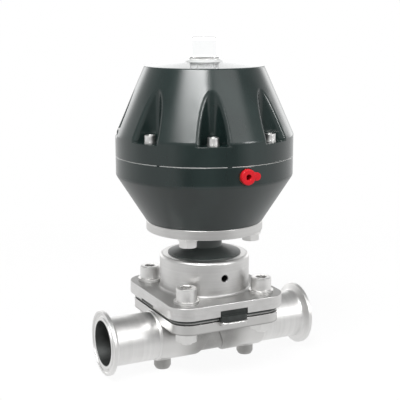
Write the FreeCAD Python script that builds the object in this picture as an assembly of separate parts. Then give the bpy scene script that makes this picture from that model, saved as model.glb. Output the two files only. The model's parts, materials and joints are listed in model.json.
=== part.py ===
import FreeCAD, Part
import math
import os

# Weir diaphragm valve, nominal 40 mm, with a spring-closed air actuator.
# Millimetres. X runs along the pipe, the stem is the Z axis, and the air port looks along -Y.
# The origin lies on the floor, midway between the two foot bosses.

Vec = FreeCAD.Vector

# Pipe ends: clamp ferrules on polished tube stubs
face_to_face = 175.0
ferrule_diameter = 50.5
ferrule_rim = 2.85
ferrule_taper = 20.0
ferrule_root = 2.0
ferrule_face_round = 0.3
ferrule_back_round = 0.4
gasket_groove_diameter = 43.5
gasket_groove_width = 3.2
gasket_groove_depth = 1.2
tube_diameter = 38.1
tube_wall = 1.5

# Forged body
body_length = 92.0
barrel_diameter = 40.4
barrel_end_round = 0.9
body_flange_x = 91.0
body_flange_y = 97.0
body_flange_thickness = 7.6
body_flange_corner = 14.0
body_flange_rise = 20.65
bowl_wall = 4.0
bore_narrowing = 0.5
seat_radius = 29.0
weir_height = 3.0
weir_crest = 8.0
weir_foot = 56.0
saddle_depth = 2.0
saddle_top_width = 4.0
saddle_foot_width = 42.0
saddle_top = 6.0
saddle_edge_round = 1.0
boss_spacing = 75.0
foot_drop = 2.7
boss_diameter = 13.6
boss_face_diameter = 11.0
boss_chamfer_height = 2.4
boss_face_round = 0.5
boss_shoulder_round = 1.0
boss_thread_core = 6.8
boss_thread_depth = 6.0
lip_rise = 0.7
lip_thickness = 3.0
lip_overhang = 6.8
lip_round = 1.4

# Two-layer diaphragm
face_thickness = 1.4
backing_thickness = 2.2
seal_bead_height = 0.8
seal_bead_width = 4.5
face_inset = 0.7
tab_width = 22.7
tab_height = 4.5
tab_overhang = 6.0
tab_inset = 0.6
tab_lip_rise = 0.7
tab_corner = 5.0
side_tab_height = 1.7
side_tab_shift = 3.5
stud_radius = 4.0
stud_head_radius = 6.0
stud_head_thickness = 1.2
stud_length = 9.0
stud_boss_radius = 10.0
stud_cover = 0.5
stud_boss_roof = 2.0

# Bonnet
bonnet_flange_x = 97.0
bonnet_flange_y = 103.0
bonnet_flange_thickness = 10.3
bonnet_flange_corner = 16.0
bonnet_flange_edge = 0.8
notch_clearance = 0.3
notch_depth = 6.0
cup_radius = 35.7
cup_height = 27.9
cup_rim_round = 2.8
cup_foot_round = 2.2
cup_wall = 5.7
cup_roof = 8.5
cup_corner_round = 3.0
leak_hole_diameter = 5.0
leak_hole_rise = 14.6
leak_hole_sink = 0.5

# Screws of the bonnet
bolt_spacing_x = 65.0
bolt_spacing_y = 70.0
bonnet_screw_diameter = 10.0
bonnet_screw_hole = 11.0
bonnet_head_diameter = 16.0
bonnet_head_height = 10.0
bonnet_head_socket = 8.0
bonnet_head_socket_depth = 5.0
bonnet_head_edge = 0.7
bonnet_washer_diameter = 19.5
bonnet_washer_thickness = 2.0
bonnet_nut_flats = 16.0
bonnet_nut_height = 8.0
bonnet_screw_overhang = 2.5

# Stem and its compressor
stroke = 12.0
spindle_diameter = 12.0
spindle_shoulder = 1.0
spindle_engagement = 11.0
spindle_overhang = 5.85
spindle_edge = 0.8
running_clearance = 0.05
soft_gap = 0.3
compressor_radius = 26.5
compressor_hub_radius = 11.0
compressor_hub_rise = 6.7
compressor_ribs = 8
compressor_rib_width = 4.0
compressor_rib_rise = 1.7
compressor_plate_thickness = 3.0
pin_diameter = 4.0
pin_drop = 5.0

# Neck between bonnet and actuator
neck_radius = 14.0
neck_gap = 20.05
neck_cone_radius = 29.0
neck_cone_edge = 0.8
neck_cone_rise = 6.0
neck_flange_radius = 29.0
neck_flange_thickness = 3.0
neck_foot_wall = 2.0
neck_foot_depth = 6.5
neck_thread_wall = 4.0
neck_thread_overhang = 3.95
neck_edge = 0.6
bush_wall = 2.0
bush_length = 18.0
neck_hole_clearance = 0.2
neck_nut_flats = 32.0
neck_nut_height = 6.0
neck_seal_section = 1.2
spindle_seal_height = 3.0
spindle_seal_drop = 4.0

# Steel plate under the actuator
plate_overhang = 0.1
plate_thickness = 7.5
plate_edge = 0.6
plate_bolt_margin = 7.8
plate_bolt_count = 4
plate_bolt_angle = 45.0
plate_bolt_diameter = 8.0
plate_bolt_hole = 8.8
plate_bolt_flats = 13.0
plate_bolt_head = 5.3
plate_bolt_reach = 12.0
plate_washer_diameter = 16.0
plate_washer_thickness = 1.6
base_insert_radius = 5.6
base_insert_length = 14.0
base_boss_wall = 2.6

# Moulded actuator housing
lower_foot_radius = 46.0
band_radius = 69.3
lower_cone_height = 36.7
lower_band_height = 14.9
upper_band_height = 17.0
upper_cone_height = 51.6
upper_rim_radius = 46.2
top_rise = 3.0
collar_flare = 3.5
collar_margin = 0.7
collar_edge_round = 0.4
collar_foot_round = 3.0
collar_height = 2.0
top_edge_round = 1.5
shoulder_round = 4.0
parting_chamfer = 0.35
housing_wall = 4.4
housing_floor = 6.0
clamp_ring_width = 12.3
housing_foot_round = 0.6
housing_inner_round = 4.0
floor_corner_round = 3.0
top_wall = 5.0

# Pockets and housing screws
pocket_count = 8
pocket_angle = 24.5
pocket_offset = 9.6
pocket_end_margin = 6.7
pocket_cross_axis = 11.2
pocket_floor_drop = 2.2
pocket_rim_round = 3.6
housing_screw_margin = 6.8
housing_screw_diameter = 5.0
housing_screw_hole = 5.5
housing_head_diameter = 8.5
housing_head_height = 5.0
housing_head_socket = 4.0
housing_head_socket_depth = 2.5
housing_head_edge = 0.4
housing_washer_diameter = 9.0
housing_washer_thickness = 1.2
housing_screw_length = 25.0
housing_insert_radius = 3.3
housing_insert_length = 12.0

# Rolling membrane and its plates
membrane_thickness = 2.4
membrane_clamp_width = 1.5
membrane_roll_width = 7.0
membrane_roll_round = 3.0
membrane_rim_clearance = 0.2
membrane_bend = 0.8
lower_plate_thickness = 3.0
upper_plate_thickness = 3.5
lower_plate_round = 1.5
upper_plate_round = 1.0
plate_rim_height = 3.0
plate_rim_width = 2.5
spindle_washer_radius = 10.0
spindle_washer_thickness = 2.0
spindle_nut_flats = 17.0
spindle_nut_height = 8.0

# Closing spring
spring_mean_radius = 37.0
spring_wire_radius = 2.2
spring_half_turns = 9
spring_side_gap = 1.0

# Air port and its dust plug
port_drop = 7.55
port_bore_radius = 4.3
port_insert_radius = 6.0
port_insert_length = 9.5
port_channel_radius = 2.0
plug_flange_radius = 5.9
plug_flange_thickness = 3.0
plug_flange_edge = 0.8
plug_tip_round = 0.6
plug_mouth_round = 0.5
plug_wall = 1.2
plug_length = 8.0
plug_recess_radius = 2.1
plug_tab_radius = 3.0
plug_tab_reach = 7.1
plug_tab_thickness = 2.2

# Position indicator and its clear dome
indicator_radius = 2.5
indicator_head_radius = 3.6
indicator_head_height = 9.0
indicator_below_collar = 5.0
indicator_tip_round = 0.8
indicator_side_gap = 0.5
indicator_engagement = 10.0
dome_radius = 11.8
dome_height = 17.0
dome_wall = 1.6
dome_edge_round = 2.0
dome_nub_radius = 3.0
dome_nub_height = 0.5
dome_shoulder = 2.3
dome_spigot_length = 6.0
dome_spigot_clearance = 0.1
dome_seal_thickness = 0.8
dome_seal_inset = 0.4
collar_depth = 9.0
collar_web = 4.0

# Finish of small pieces, and the reach of a cut past a face
hex_chamfer_angle = 30.0
cut_through = 0.01
near = 0.01

# Heights and places that follow from the sizes above
pipe_height = ferrule_diameter / 2 + foot_drop
bore_radius = tube_diameter / 2 - tube_wall
half_length = face_to_face / 2
half_body = body_length / 2
body_flange_top = pipe_height + body_flange_rise
body_flange_bottom = body_flange_top - body_flange_thickness
lip_reach = body_flange_y / 2 + lip_overhang
tab_reach = body_flange_y / 2 + tab_overhang
crest_height = pipe_height + weir_height
cap_depth = body_flange_top - crest_height
cap_radius = (seat_radius ** 2 + cap_depth ** 2) / (2 * cap_depth)
cap_centre = crest_height + cap_radius
face_bottom = body_flange_top + seal_bead_height
backing_bottom = face_bottom + face_thickness
bonnet_bottom = backing_bottom + backing_thickness
bonnet_flange_top = bonnet_bottom + bonnet_flange_thickness
cup_top = bonnet_flange_top + cup_height
cup_inner_top = cup_top - cup_roof
leak_hole_height = bonnet_flange_top + leak_hole_rise
compressor_top = bonnet_bottom + compressor_hub_rise
compressor_rib_top = bonnet_bottom + compressor_rib_rise
pin_height = compressor_top - pin_drop
spindle_foot = compressor_top - spindle_engagement
spindle_neck_diameter = spindle_diameter - 2 * spindle_shoulder
bush_outer_radius = spindle_diameter / 2 + bush_wall
neck_foot_radius = bush_outer_radius + neck_foot_wall
neck_thread_radius = bush_outer_radius + neck_thread_wall
plate_radius = lower_foot_radius + plate_overhang
plate_bolt_circle = 2 * (plate_radius - plate_bolt_margin)
plate_bottom = cup_top + neck_gap
plate_top = plate_bottom + plate_thickness
lower_band_bottom = plate_top + lower_cone_height
parting = lower_band_bottom + lower_band_height
shoulder = parting + upper_band_height
pocket_floor = shoulder - pocket_floor_drop
upper_rim = shoulder + upper_cone_height
collar_foot = upper_rim + top_rise
collar_top = collar_foot + collar_height
chamber_floor = plate_top + housing_floor
neck_thread_top = chamber_floor + neck_nut_height + neck_thread_overhang
clamp_ring_inner = band_radius - clamp_ring_width
housing_bolt_circle = 2 * (band_radius - housing_screw_margin)
pocket_centre = band_radius + pocket_offset
pocket_long_axis = pocket_centre - upper_rim_radius - pocket_end_margin
membrane_plate_radius = clamp_ring_inner - membrane_roll_width
collar_radius = dome_radius + collar_margin
collar_foot_radius = collar_radius + collar_flare
port_height = parting - port_drop
lower_slope = (band_radius - lower_foot_radius) / lower_cone_height
upper_slope = (band_radius - upper_rim_radius) / upper_cone_height
ceiling = upper_rim - top_wall
membrane_clamp_bottom = parting - membrane_thickness
membrane_centre_bottom = membrane_clamp_bottom - stroke
lower_plate_bottom = membrane_centre_bottom - lower_plate_thickness
upper_plate_bottom = membrane_centre_bottom + membrane_thickness
upper_plate_top = upper_plate_bottom + upper_plate_thickness
spindle_nut_bottom = upper_plate_top + spindle_washer_thickness
spindle_nut_top = spindle_nut_bottom + spindle_nut_height
spindle_tip = spindle_nut_top + spindle_overhang
dome_bottom = collar_top + dome_seal_thickness
dome_top = dome_bottom + dome_height
dome_spigot_radius = dome_radius - dome_shoulder
indicator_hole_radius = indicator_head_radius + indicator_side_gap
indicator_tip = collar_top - indicator_below_collar
tab_top = bonnet_bottom + tab_height
tab_lip_bottom = body_flange_top + lip_rise + soft_gap
tab_lip_top = bonnet_bottom + tab_lip_rise
side_tab_top = bonnet_bottom + side_tab_height
backing_inner_radius = cap_radius - face_thickness - backing_thickness
backing_outer_radius = cap_radius - face_thickness
stud_room_radius = stud_head_radius + soft_gap
stud_room_bottom = cap_centre - math.sqrt((backing_outer_radius - stud_cover) ** 2 - stud_room_radius ** 2)
stud_head_bottom = stud_room_bottom + soft_gap
stud_head_top = stud_head_bottom + stud_head_thickness
stud_boss_top = stud_head_top + stud_boss_roof
cup_inner_radius = cup_radius - cup_wall
neck_foot = cup_top - neck_foot_depth
seal_bottom = neck_thread_top - spindle_seal_drop - spindle_seal_height
membrane_outer_radius = clamp_ring_inner + membrane_clamp_width
upper_plate_radius = membrane_plate_radius - membrane_thickness
port_insert_inner = band_radius - port_insert_length
port_insert_face = band_radius - soft_gap
plug_back = band_radius + soft_gap
indicator_foot = spindle_tip - indicator_engagement


def around(radius, degrees, z=0.0):
    """Point on a circle about the stem; 0 degrees is the air port's side."""
    turn = math.radians(degrees)
    return Vec(radius * math.sin(turn), -radius * math.cos(turn), z)


def ring_places(circle, count, start):
    """Centres of holes evenly spaced on a bolt circle."""
    return [around(circle / 2, start + 360 / count * step) for step in range(count)]


def corner_places():
    """Centres of the four bonnet screws."""
    signs = [(-1, -1), (1, -1), (1, 1), (-1, 1)]
    return [Vec(x * bolt_spacing_x / 2, y * bolt_spacing_y / 2, 0) for x, y in signs]


def upright(radius, bottom, top, centre=Vec(0, 0, 0)):
    """Vertical cylinder between two heights."""
    return Part.makeCylinder(radius, top - bottom, Vec(centre.x, centre.y, bottom))


def along_pipe(radius, start, end):
    """Cylinder on the pipe axis between two places along X."""
    return Part.makeCylinder(radius, end - start, Vec(start, 0, pipe_height), Vec(1, 0, 0))


def rounded_face(corners, place):
    """Flat face through (a, b) corners; a third number is that corner's radius."""
    edges = []
    joints = []
    count = len(corners)
    for index, corner in enumerate(corners):
        here = place(corner[0], corner[1])
        radius = corner[2] if len(corner) > 2 else 0
        if radius == 0:
            joints.append((here, here))
            continue
        before = place(*corners[index - 1][:2]) - here
        after = place(*corners[(index + 1) % count][:2]) - here
        before.normalize()
        after.normalize()
        half = before.getAngle(after) / 2
        inward = before + after
        inward.normalize()
        start = here + before * (radius / math.tan(half))
        end = here + after * (radius / math.tan(half))
        middle = here + inward * (radius / math.sin(half) - radius)
        edges.append(Part.Arc(start, middle, end).toShape())
        joints.append((start, end))
    for index in range(count):
        leave = joints[index - 1][1]
        reach = joints[index][0]
        if leave.distanceToPoint(reach) > 1e-6:
            edges.append(Part.LineSegment(leave, reach).toShape())
    return Part.Face(Part.Wire(Part.__sortEdges__(edges)))


def turned(corners):
    """Solid turned about the stem from (radius, height) corners."""
    face = rounded_face(corners, lambda radius, z: Vec(radius, 0, z))
    return face.revolve(Vec(0, 0, 0), Vec(0, 0, 1), 360)


def turned_on_pipe(corners):
    """Solid turned about the pipe axis from (x, radius) corners."""
    face = rounded_face(corners, lambda x, radius: Vec(x, 0, pipe_height + radius))
    return face.revolve(Vec(0, 0, pipe_height), Vec(1, 0, 0), 360)


def slab(size_x, size_y, corner, bottom, top):
    """Plate with rounded corners, centred on the stem."""
    x = size_x / 2
    y = size_y / 2
    outline = [(-x, -y, corner), (x, -y, corner), (x, y, corner), (-x, y, corner)]
    face = rounded_face(outline, lambda a, b: Vec(a, b, bottom))
    return face.extrude(Vec(0, 0, top - bottom))


def block(x0, x1, y0, y1, z0, z1):
    """Box between two corners."""
    return Part.makeBox(x1 - x0, y1 - y0, z1 - z0, Vec(x0, y0, z0))


def hexagon(across_flats, bottom, top, centre):
    """Upright hexagonal prism with sharp corners."""
    reach = across_flats / math.sqrt(3)
    points = []
    for step in range(7):
        angle = math.radians(60 * step)
        points.append(centre + Vec(reach * math.cos(angle), reach * math.sin(angle), bottom))
    return Part.Face(Part.makePolygon(points)).extrude(Vec(0, 0, top - bottom))


def hex_blank(across_flats, bottom, top, centre, chamfer_bottom, chamfer_top):
    """Hexagon whose corners are turned down at the ends that are marked."""
    reach = across_flats / math.sqrt(3) + cut_through
    face_reach = across_flats / 2
    drop = (reach - face_reach) * math.tan(math.radians(hex_chamfer_angle))
    corners = [(0, bottom)]
    corners += [(face_reach, bottom), (reach, bottom + drop)] if chamfer_bottom else [(reach, bottom)]
    corners += [(reach, top - drop), (face_reach, top)] if chamfer_top else [(reach, top)]
    envelope = turned(corners + [(0, top)])
    envelope.translate(Vec(centre.x, centre.y, 0))
    return hexagon(across_flats, bottom, top, centre).common(envelope)


def fused(solids):
    """One body out of touching solids."""
    return solids[0].fuse(solids[1:]).removeSplitter()


def drilled(solid, tools):
    """Solid with every tool taken away."""
    return solid.cut(tools)


def socket_screw(sizes, seat, tip, centre):
    """Socket head screw standing on its seat height."""
    shank, head, height, socket, depth, edge = sizes
    top = seat + height
    outline = [(0, tip), (shank / 2, tip, edge), (shank / 2, seat), (head / 2, seat), (head / 2, top, edge)]
    body = turned(outline + [(0, top)])
    body.translate(Vec(centre.x, centre.y, 0))
    return body.cut(hexagon(socket, top - depth, top, centre))


def washer(hole, diameter, bottom, thickness, centre):
    """Flat washer."""
    outer = upright(diameter / 2, bottom, bottom + thickness, centre)
    return outer.cut(upright(hole / 2, bottom, bottom + thickness, centre))


def bolt_holes(bottom, top):
    """Clearance holes for the bonnet screws."""
    return [upright(bonnet_screw_hole / 2, bottom, top, place) for place in corner_places()]


# Clamp ferrules

def ferrule():
    """Inlet ferrule with its tube stub, gasket groove and tapered rim."""
    mouth = -half_length
    rim = ferrule_diameter / 2
    tube = tube_diameter / 2
    taper = (rim - tube) * math.tan(math.radians(ferrule_taper))
    taper_end = mouth + ferrule_rim + taper
    outline = [(mouth, bore_radius), (mouth, rim, ferrule_face_round)]
    outline += [(mouth + ferrule_rim, rim, ferrule_back_round)]
    outline += [(taper_end, tube, ferrule_root), (-half_body, tube), (-half_body, bore_radius)]
    groove_centre = Vec(mouth - gasket_groove_width / 2 + gasket_groove_depth, 0, pipe_height)
    groove = Part.makeTorus(gasket_groove_diameter / 2, gasket_groove_width / 2, groove_centre, Vec(1, 0, 0))
    return turned_on_pipe(outline).cut(groove)


# Forged body

def weir_wedge():
    """Solid that stands across the bore and leaves the diaphragm its crest."""
    crest = weir_crest / 2
    foot = weir_foot / 2
    low = pipe_height - bore_radius
    points = [(-foot, low), (-crest, crest_height), (-crest, body_flange_top)]
    points += [(crest, body_flange_top), (crest, crest_height), (foot, low)]
    face = rounded_face(points, lambda x, z: Vec(x, -bore_radius, z))
    return face.extrude(Vec(0, 2 * bore_radius, 0))


def cap_to(radius, top):
    """Ball segment below a height, concentric with the closed diaphragm."""
    return Part.makeSphere(radius, Vec(0, 0, cap_centre)).common(upright(2 * radius, 0, top))


def saddle_cut():
    """Shallow recess round the web under the weir, narrow at the top like the weir itself."""
    low = pipe_height - barrel_diameter
    high = pipe_height + saddle_top
    points = [(-saddle_foot_width / 2, low), (-saddle_top_width / 2, high)]
    points += [(saddle_top_width / 2, high), (saddle_foot_width / 2, low)]
    face = rounded_face(points, lambda x, z: Vec(x, -barrel_diameter, z))
    prism = face.extrude(Vec(0, 2 * barrel_diameter, 0))
    core = along_pipe(barrel_diameter / 2 - saddle_depth, -half_body, half_body)
    return prism.cut(core)


def saddle_edges(shape):
    """Outer edges where the barrel meets the recess."""
    found = []
    for edge in shape.Edges:
        middle = edge.valueAt((edge.FirstParameter + edge.LastParameter) / 2)
        off_axis = math.hypot(middle.y, middle.z - pipe_height)
        slanted = saddle_top_width / 4 < abs(middle.x) < saddle_foot_width / 2
        on_barrel = abs(off_axis - barrel_diameter / 2) < near
        if slanted and on_barrel and middle.z < pipe_height + saddle_top:
            found.append(edge)
    return found


def foot_boss(x):
    """Cylindrical foot with a chamfered end."""
    wide = boss_diameter / 2
    root = pipe_height - bore_radius
    outline = [(0, 0), (boss_face_diameter / 2, 0, boss_face_round)]
    outline += [(wide, boss_chamfer_height, boss_shoulder_round), (wide, root), (0, root)]
    boss = turned(outline)
    boss.translate(Vec(x, 0, 0))
    return boss


def tab_rest():
    """Rounded lip in front of the flange, under the diaphragm's tab."""
    x = tab_width / 2 + notch_clearance
    root = body_flange_y / 2
    top = body_flange_top + lip_rise
    outline = [(-x, -lip_reach, tab_corner), (x, -lip_reach, tab_corner), (x, -root), (-x, -root)]
    face = rounded_face(outline, lambda a, b: Vec(a, b, top - lip_thickness))
    lip = face.extrude(Vec(0, 0, lip_thickness))
    front = [edge for edge in lip.Edges
             if edge.BoundBox.ZMin > top - near and edge.BoundBox.YMin < -root - near]
    return lip.makeFillet(lip_round, front)


def narrowing_bore(side):
    """Half of the body's bore, which narrows a little from the weld to the weir."""
    start = Vec(side * half_body, 0, pipe_height)
    return Part.makeCone(bore_radius, bore_radius - bore_narrowing, half_body, start, Vec(-side, 0, 0))


def valve_body():
    """Forged weir body with its square flange."""
    barrel = turned_on_pipe([(-half_body, 0), (-half_body, barrel_diameter / 2, barrel_end_round),
                             (half_body, barrel_diameter / 2, barrel_end_round), (half_body, 0)])
    barrel = barrel.common(upright(face_to_face, -pipe_height, body_flange_top)).cut(saddle_cut())
    barrel = barrel.makeFillet(saddle_edge_round, saddle_edges(barrel))
    flange = slab(body_flange_x, body_flange_y, body_flange_corner, body_flange_bottom, body_flange_top)
    bosses = [foot_boss(side * boss_spacing / 2) for side in (-1, 1)]
    outside = fused([barrel, cap_to(cap_radius + bowl_wall, body_flange_top), flange, tab_rest()] + bosses)
    bore = fused([narrowing_bore(-1), narrowing_bore(1)]).cut(weir_wedge())
    threads = [upright(boss_thread_core / 2, 0, boss_thread_depth, Vec(side * boss_spacing / 2, 0, 0))
               for side in (-1, 1)]
    return drilled(outside, [bore, cap_to(cap_radius, body_flange_top)] + threads
                   + bolt_holes(body_flange_bottom, body_flange_top))


# Diaphragm

def diaphragm_face():
    """Face layer, clamped on its sealing bead and pressed down on the weir."""
    sheet = slab(body_flange_x - 2 * face_inset, body_flange_y - 2 * face_inset, body_flange_corner,
                 face_bottom, backing_bottom)
    bead = upright(seat_radius + seal_bead_width, body_flange_top, face_bottom)
    whole = fused([cap_to(cap_radius, body_flange_top), bead, sheet])
    hollow = cap_to(cap_radius - face_thickness, backing_bottom)
    return drilled(whole, [hollow] + bolt_holes(face_bottom, backing_bottom))


def tab_block(reach, root, bottom, top, corner):
    """Front tab seen in the notch of the bonnet flange."""
    x = tab_width / 2
    outline = [(-x, -reach, corner), (x, -reach, corner), (x, -root), (-x, -root)]
    face = rounded_face(outline, lambda a, b: Vec(a, b, bottom))
    return face.extrude(Vec(0, 0, top - bottom))


def diaphragm_backing():
    """Rubber backing with its tabs and the boss that holds the stud's head."""
    sheet = slab(body_flange_x, body_flange_y, body_flange_corner, backing_bottom, bonnet_bottom)
    front = bonnet_flange_y / 2
    root = front - notch_depth + notch_clearance
    high_tab = tab_block(front - tab_inset, root, backing_bottom, tab_top, tab_inset)
    lip = tab_block(tab_reach, root, backing_bottom, tab_lip_top, tab_corner)
    body_edge = body_flange_y / 2 + notch_clearance
    lip_foot = tab_block(tab_reach, body_edge, tab_lip_bottom, tab_lip_top, tab_corner)
    side = bonnet_flange_x / 2 - tab_inset
    side_root = bonnet_flange_x / 2 - notch_depth + notch_clearance
    side_start = side_tab_shift - tab_width / 2
    side_end = side_tab_shift + tab_width / 2
    side_bar = block(-side, side, side_start, side_end, bonnet_bottom, side_tab_top)
    side_gap = block(-side_root, side_root, side_start, side_end, bonnet_bottom, side_tab_top)
    cap = cap_to(cap_radius - face_thickness, backing_bottom)
    whole = fused([cap, sheet, high_tab, lip, lip_foot, side_bar.cut(side_gap)])
    hollow = cap_to(backing_inner_radius, bonnet_bottom).cut(upright(stud_boss_radius, 0, stud_boss_top))
    head_room = upright(stud_room_radius, stud_room_bottom, stud_head_top + soft_gap)
    shank_room = upright(stud_radius + soft_gap, stud_head_top, stud_boss_top)
    return drilled(whole, [hollow, head_room, shank_room] + bolt_holes(backing_bottom, bonnet_bottom))


def diaphragm_stud():
    """Stud that draws the diaphragm up with the compressor."""
    top = stud_head_top + stud_length
    return turned([(0, stud_head_bottom), (stud_head_radius, stud_head_bottom),
                   (stud_head_radius, stud_head_top), (stud_radius, stud_head_top),
                   (stud_radius, top), (0, top)])


# Bonnet and its fasteners

def bonnet():
    """Square flange with the round cup that covers the compressor."""
    flange = slab(bonnet_flange_x, bonnet_flange_y, bonnet_flange_corner, bonnet_bottom, bonnet_flange_top)
    rims = [edge for edge in flange.Edges if abs(edge.BoundBox.ZMin - edge.BoundBox.ZMax) < near]
    flange = flange.makeFillet(bonnet_flange_edge, rims)
    foot = cup_radius + cup_foot_round
    cup = turned([(0, bonnet_bottom), (cup_radius, bonnet_bottom), (cup_radius, cup_top, cup_rim_round),
                  (0, cup_top)])
    cove_top = bonnet_flange_top + cup_foot_round
    cove = Part.makeTorus(foot, cup_foot_round, Vec(0, 0, cove_top))
    skirt = upright(foot, bonnet_bottom, cove_top).cut(cove)
    outside = fused([flange, cup, skirt])
    cavity = turned([(0, bonnet_bottom), (cup_inner_radius, bonnet_bottom),
                     (cup_inner_radius, cup_inner_top, cup_corner_round), (0, cup_inner_top)])
    neck_hole = upright(neck_foot_radius, cup_inner_top, cup_top)
    x = tab_width / 2 + notch_clearance
    front = bonnet_flange_y / 2
    side = bonnet_flange_x / 2
    front_top = tab_top + notch_clearance
    side_top = side_tab_top + notch_clearance
    front_notch = block(-x, x, -front - notch_depth, -front + notch_depth, backing_bottom, front_top)
    side_notches = [block(edge - notch_depth, edge + notch_depth, side_tab_shift - x, side_tab_shift + x,
                          backing_bottom, side_top) for edge in (-side, side)]
    outward = Vec(0, -1, 0)
    leak_radius = leak_hole_diameter / 2
    leak = Part.makeCylinder(leak_radius, cup_radius, Vec(0, 0, leak_hole_height), outward)
    sink_place = Vec(0, leak_hole_sink - cup_radius, leak_hole_height)
    sink_reach = 2 * leak_hole_sink
    sink = Part.makeCone(leak_radius, leak_radius + sink_reach, sink_reach, sink_place, outward)
    tools = [cavity, neck_hole, front_notch, leak, sink] + side_notches
    return drilled(outside, tools + bolt_holes(bonnet_bottom, bonnet_flange_top))


def bonnet_screws():
    """Four socket head screws through both flanges."""
    sizes = (bonnet_screw_diameter, bonnet_head_diameter, bonnet_head_height, bonnet_head_socket,
             bonnet_head_socket_depth, bonnet_head_edge)
    seat = bonnet_flange_top + bonnet_washer_thickness
    tip = body_flange_bottom - bonnet_nut_height - bonnet_screw_overhang
    return [socket_screw(sizes, seat, tip, place) for place in corner_places()]


def bonnet_washers():
    """Washers under the heads of the bonnet screws."""
    return [washer(bonnet_screw_diameter, bonnet_washer_diameter, bonnet_flange_top, bonnet_washer_thickness,
                   place) for place in corner_places()]


def bonnet_nuts():
    """Hexagon nuts under the body flange."""
    bottom = body_flange_bottom - bonnet_nut_height
    nuts = []
    for place in corner_places():
        blank = hex_blank(bonnet_nut_flats, bottom, body_flange_bottom, place, True, True)
        nuts.append(blank.cut(upright(bonnet_screw_diameter / 2, bottom, body_flange_bottom, place)))
    return nuts


# Stem

def compressor():
    """Ribbed presser whose underside follows the closed diaphragm."""
    ball = cap_to(backing_inner_radius - soft_gap, compressor_top)
    envelope = ball.common(upright(compressor_radius, 0, compressor_top))
    hub = upright(compressor_hub_radius, 0, compressor_top)
    plate = upright(compressor_radius, compressor_rib_top - compressor_plate_thickness, compressor_rib_top)
    half = compressor_rib_width / 2
    ribs = []
    for step in range(compressor_ribs // 2):
        rib = block(-compressor_radius, compressor_radius, -half, half, 0, compressor_rib_top)
        rib.rotate(Vec(0, 0, 0), Vec(0, 0, 1), 360 / compressor_ribs * (step + 0.5))
        ribs.append(rib)
    solid = fused([hub, plate] + ribs).common(envelope)
    boss_room = upright(stud_boss_radius + soft_gap, 0, stud_boss_top + soft_gap)
    stud_hole = upright(stud_radius, stud_boss_top, spindle_foot)
    spindle_hole = upright(spindle_diameter / 2, spindle_foot, compressor_top)
    return drilled(solid, [boss_room, stud_hole, spindle_hole, cross_pin(2 * compressor_hub_radius)])


def cross_pin(length):
    """Pin across the compressor's hub."""
    return Part.makeCylinder(pin_diameter / 2, length, Vec(-length / 2, 0, pin_height), Vec(1, 0, 0))


def spindle():
    """Round spindle with a shoulder under the membrane plates."""
    wide = spindle_diameter / 2
    slim = spindle_neck_diameter / 2
    rod = turned([(0, spindle_foot), (wide, spindle_foot), (wide, lower_plate_bottom),
                  (slim, lower_plate_bottom), (slim, spindle_tip, spindle_edge), (0, spindle_tip)])
    return drilled(rod, [cross_pin(2 * wide), upright(indicator_radius, indicator_foot, spindle_tip)])


# Neck between bonnet and actuator

def neck_adapter():
    """Black neck that carries the actuator, with a shallow cone over the top of the cup."""
    flange_bottom = plate_bottom - neck_flange_thickness
    outside = turned([(0, neck_foot), (neck_foot_radius, neck_foot), (neck_foot_radius, cup_top),
                      (neck_cone_radius, cup_top), (neck_cone_radius, cup_top + neck_cone_edge),
                      (neck_radius, cup_top + neck_cone_rise), (neck_radius, flange_bottom),
                      (neck_flange_radius, flange_bottom, neck_edge), (neck_flange_radius, plate_bottom),
                      (neck_thread_radius, plate_bottom), (neck_thread_radius, neck_thread_top, neck_edge),
                      (0, neck_thread_top)])
    bore = upright(spindle_diameter / 2 + soft_gap, neck_foot, neck_thread_top)
    bush_seat = upright(bush_outer_radius, neck_foot, neck_foot + bush_length)
    seal_seat = upright(bush_outer_radius, seal_bottom, seal_bottom + spindle_seal_height)
    return drilled(outside, [bore, bush_seat, seal_seat])


def running_ring(bottom, height):
    """Ring in the neck that the spindle runs through."""
    ring = upright(bush_outer_radius, bottom, bottom + height)
    return ring.cut(upright(spindle_diameter / 2 + running_clearance, bottom, bottom + height))


def neck_nut():
    """Flat nut that clamps the housing and the plate on the neck."""
    top = chamber_floor + neck_nut_height
    blank = hex_blank(neck_nut_flats, chamber_floor, top, Vec(0, 0, 0), False, True)
    return blank.cut(upright(neck_thread_radius, chamber_floor, top))


def neck_oring():
    """Seal between the neck and the housing's floor."""
    ring_radius = neck_thread_radius + neck_hole_clearance + neck_seal_section
    return Part.makeTorus(ring_radius, neck_seal_section, Vec(0, 0, plate_top + neck_seal_section))


# Mounting plate and its bolts

def plate_places():
    """Centres of the bolts in the plate."""
    return ring_places(plate_bolt_circle, plate_bolt_count, plate_bolt_angle)


def mounting_plate():
    """Round steel plate with a hole for the neck and four bolt holes."""
    disc = turned([(0, plate_bottom), (plate_radius, plate_bottom, plate_edge),
                   (plate_radius, plate_top, plate_edge), (0, plate_top)])
    holes = [upright(plate_bolt_hole / 2, plate_bottom, plate_top, place) for place in plate_places()]
    return drilled(disc, [upright(neck_thread_radius + neck_hole_clearance, plate_bottom, plate_top)] + holes)


def plate_bolts():
    """Hexagon bolts that come up through the plate."""
    seat = plate_bottom - plate_washer_thickness
    bolts = []
    for place in plate_places():
        head = hex_blank(plate_bolt_flats, seat - plate_bolt_head, seat, place, True, False)
        shank = upright(plate_bolt_diameter / 2, seat, plate_top + plate_bolt_reach, place)
        bolts.append(fused([head, shank]))
    return bolts


def plate_washers():
    """Washers under the heads of the plate bolts."""
    bottom = plate_bottom - plate_washer_thickness
    return [washer(plate_bolt_diameter, plate_washer_diameter, bottom, plate_washer_thickness, place)
            for place in plate_places()]


def base_inserts():
    """Threaded inserts in the floor bosses of the lower housing."""
    top = plate_top + base_insert_length
    return [upright(base_insert_radius, plate_top, top, place).cut(
        upright(plate_bolt_diameter / 2, plate_top, top, place)) for place in plate_places()]


# Actuator housing

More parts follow.
